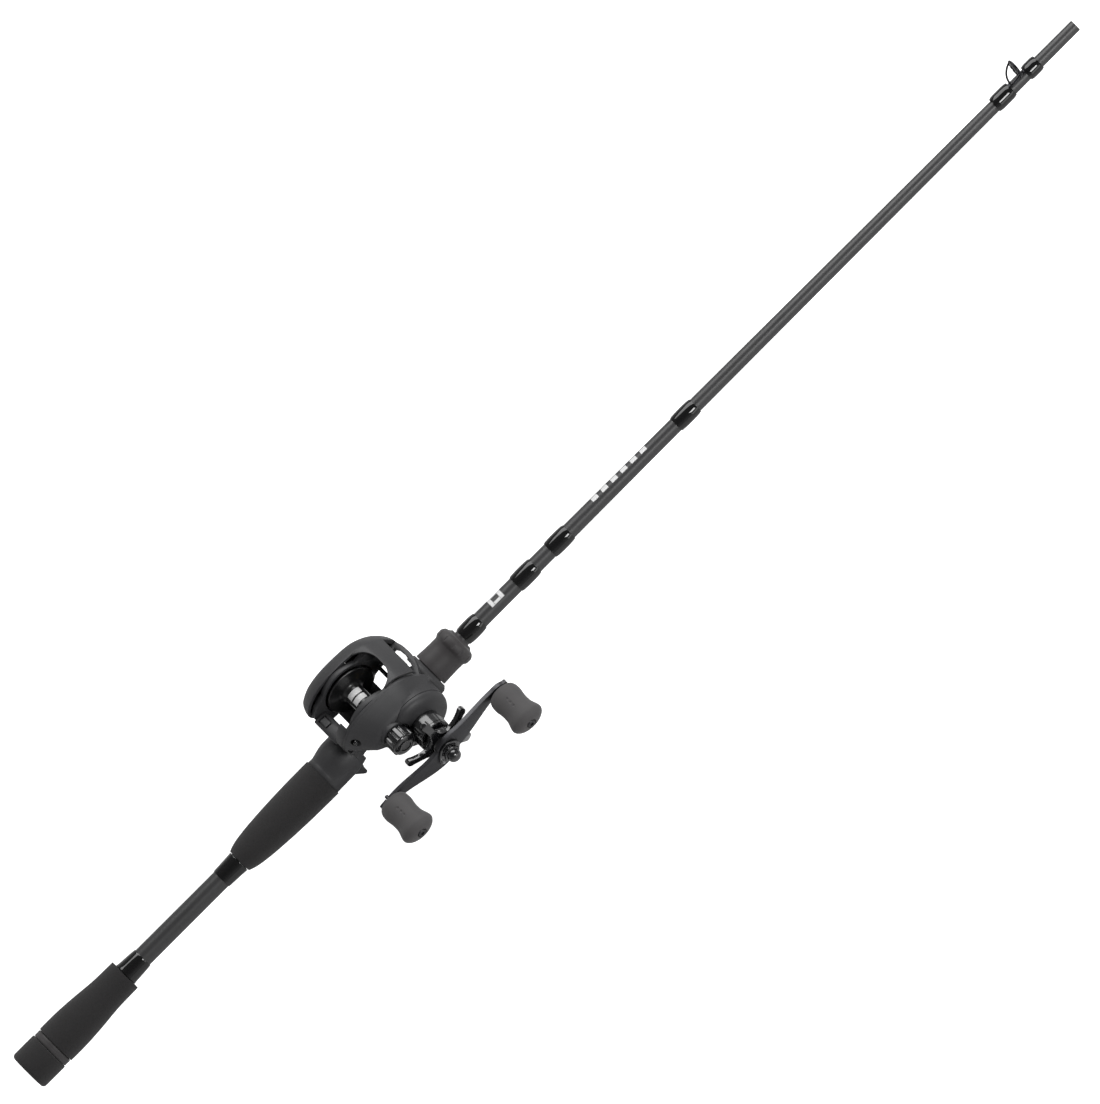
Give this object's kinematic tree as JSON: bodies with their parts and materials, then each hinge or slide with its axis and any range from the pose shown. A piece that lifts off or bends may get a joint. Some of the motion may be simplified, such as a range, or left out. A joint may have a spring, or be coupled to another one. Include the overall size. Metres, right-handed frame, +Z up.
{
  "type": "fishing rod and reel",
  "caption": "Casting rod handle section with split foam grips and a trigger seat, carrying a low-profile baitcasting reel that cranks, casts and winds.",
  "frame": {"origin": "centre of the butt cap's end face, on the rod's axis", "axes": "+X along the rod towards its tip, +Z up on the reel's side, crank on the -Y side"},
  "size_m": [0.8666, 0.1177, 0.0729],
  "materials": {
    "matte_body": "matte moulded graphite-filled nylon",
    "graphite": "satin carbon composite",
    "foam_grip": "dense closed-cell foam",
    "soft_touch": "soft-touch coating",
    "knob_rubber": "soft rubber",
    "epoxy": "black thread under clear epoxy",
    "gloss_black": "gloss black",
    "anodised": "black anodised",
    "spool_black": "gloss black anodised",
    "gunmetal": "gunmetal anodised",
    "steel": "turned stainless steel",
    "brass": "cut brass",
    "ceramic": "dark polished ceramic",
    "fibre": "moulded fibre"
  },
  "bodies": {
    "rod": {"blank": "graphite", "butt_cap": "foam_grip", "butt_ring": "soft_touch", "butt_grip": "foam_grip", "butt_winding": "epoxy", "grip_winding": "epoxy", "rear_grip": "foam_grip", "seat_winding": "epoxy", "trim_winding_rear": "epoxy", "trim_winding_front": "epoxy", "label_winding": "epoxy", "seat_body": "matte_body", "seat_arbor": "fibre", "guide_frame": "anodised", "guide_insert": "ceramic", "guide_winding_rear": "epoxy", "guide_winding_front": "epoxy", "reel_frame": "matte_body", "reel_foot": "anodised", "front_cowl": "matte_body", "palm_cover": "matte_body", "handle_cover": "matte_body", "gear_cover": "matte_body", "bearing_plate": "fibre", "spool_bearing": "steel", "pinion_bearing": "steel", "end_bearing": "steel", "cover_screw": "gloss_black", "one_way_bearing": "steel", "worm_tube": "fibre"},
    "spool": {"spool": "spool_black", "spool_shaft": "steel"},
    "crank": {"main_shaft": "steel", "levelwind_cog": "fibre", "main_gear": "brass", "drag_washer": "fibre", "pressure_plate": "steel", "clutch_sleeve": "steel", "drag_spring_washer": "steel", "handle_arm": "gunmetal", "nut_retainer": "gloss_black", "retainer_screw": "steel", "handle_nut": "gloss_black", "knob_post_rear": "gunmetal", "knob_post_front": "gunmetal"},
    "star_drag": {"star_drag": "gloss_black"},
    "knob_rear": {"knob_rear": "knob_rubber"},
    "knob_front": {"knob_front": "knob_rubber"},
    "clutch_yoke": {"clutch_yoke": "steel"},
    "pinion": {"pinion": "brass"},
    "thumb_bar": {"thumb_bar": "matte_body"},
    "worm": {"worm_shaft": "steel", "worm_gear": "fibre"},
    "line_carriage": {"line_carriage": "matte_body"},
    "tension_cap": {"tension_cap": "gloss_black"},
    "brake_dial": {"brake_dial": "gloss_black", "brake_magnet_ring": "steel"},
    "clamp_hood": {"clamp_hood": "matte_body"},
    "lock_nut": {"lock_nut": "soft_touch"}
  },
  "joints": [
    {"name": "crank_turn", "type": "hinge", "parent": "rod", "child": "crank", "pos_m": [0.308, 0, 0.018], "axis": [0, 1, 0], "continuous": true},
    {"name": "spool_spin", "type": "hinge", "parent": "rod", "child": "spool", "pos_m": [0.292, 0, 0.028], "axis": [0, 1, 0], "continuous": true},
    {"name": "yoke_shift", "type": "slide", "parent": "rod", "child": "clutch_yoke", "axis": [0, -1, 0], "range_m": [0, 0.002]},
    {"name": "pinion_spin", "type": "hinge", "parent": "clutch_yoke", "child": "pinion", "pos_m": [0.292, 0, 0.028], "axis": [0, 1, 0], "continuous": true},
    {"name": "thumb_bar_press", "type": "slide", "parent": "rod", "child": "thumb_bar", "axis": [0, 0, -1], "range_m": [0, 0.004], "stiffness_N_per_m": 150},
    {"name": "worm_spin", "type": "hinge", "parent": "rod", "child": "worm", "pos_m": [0.3195, 0, 0.025], "axis": [0, 1, 0], "continuous": true},
    {"name": "line_carriage_travel", "type": "slide", "parent": "rod", "child": "line_carriage", "axis": [0, 1, 0], "range_m": [-0.0086, 0.0086]},
    {"name": "star_drag_turn", "type": "hinge", "parent": "crank", "child": "star_drag", "pos_m": [0.308, 0, 0.018], "axis": [0, 1, 0], "range_deg": [-180, 180]},
    {"name": "knob_rear_spin", "type": "hinge", "parent": "crank", "child": "knob_rear", "pos_m": [0.263, 0, 0.018], "axis": [0, 1, 0], "continuous": true},
    {"name": "knob_front_spin", "type": "hinge", "parent": "crank", "child": "knob_front", "pos_m": [0.353, 0, 0.018], "axis": [0, 1, 0], "continuous": true},
    {"name": "tension_cap_turn", "type": "hinge", "parent": "rod", "child": "tension_cap", "pos_m": [0.292, 0, 0.028], "axis": [0, 1, 0], "range_deg": [-180, 180]},
    {"name": "brake_dial_turn", "type": "hinge", "parent": "rod", "child": "brake_dial", "pos_m": [0.292, 0, 0.028], "axis": [0, 1, 0], "range_deg": [-120, 120]},
    {"name": "clamp_hood_travel", "type": "slide", "parent": "rod", "child": "clamp_hood", "axis": [1, 0, 0], "range_m": [0, 0.0076]},
    {"name": "lock_nut_turn", "type": "hinge", "parent": "clamp_hood", "child": "lock_nut", "pos_m": [0.346, 0, 0], "axis": [1, 0, 0], "range_deg": [0, 1800]}
  ],
  "couplings": [
    {"joint": "spool_spin", "follows": "crank_turn", "ratio": -6.3},
    {"joint": "pinion_spin", "follows": "crank_turn", "ratio": -6.3},
    {"joint": "worm_spin", "follows": "crank_turn", "ratio": -1.625},
    {"joint": "yoke_shift", "follows": "thumb_bar_press", "ratio": 0.5},
    {"joint": "clamp_hood_travel", "follows": "lock_nut_turn", "m_per_rad": 0.00023873}
  ]
}
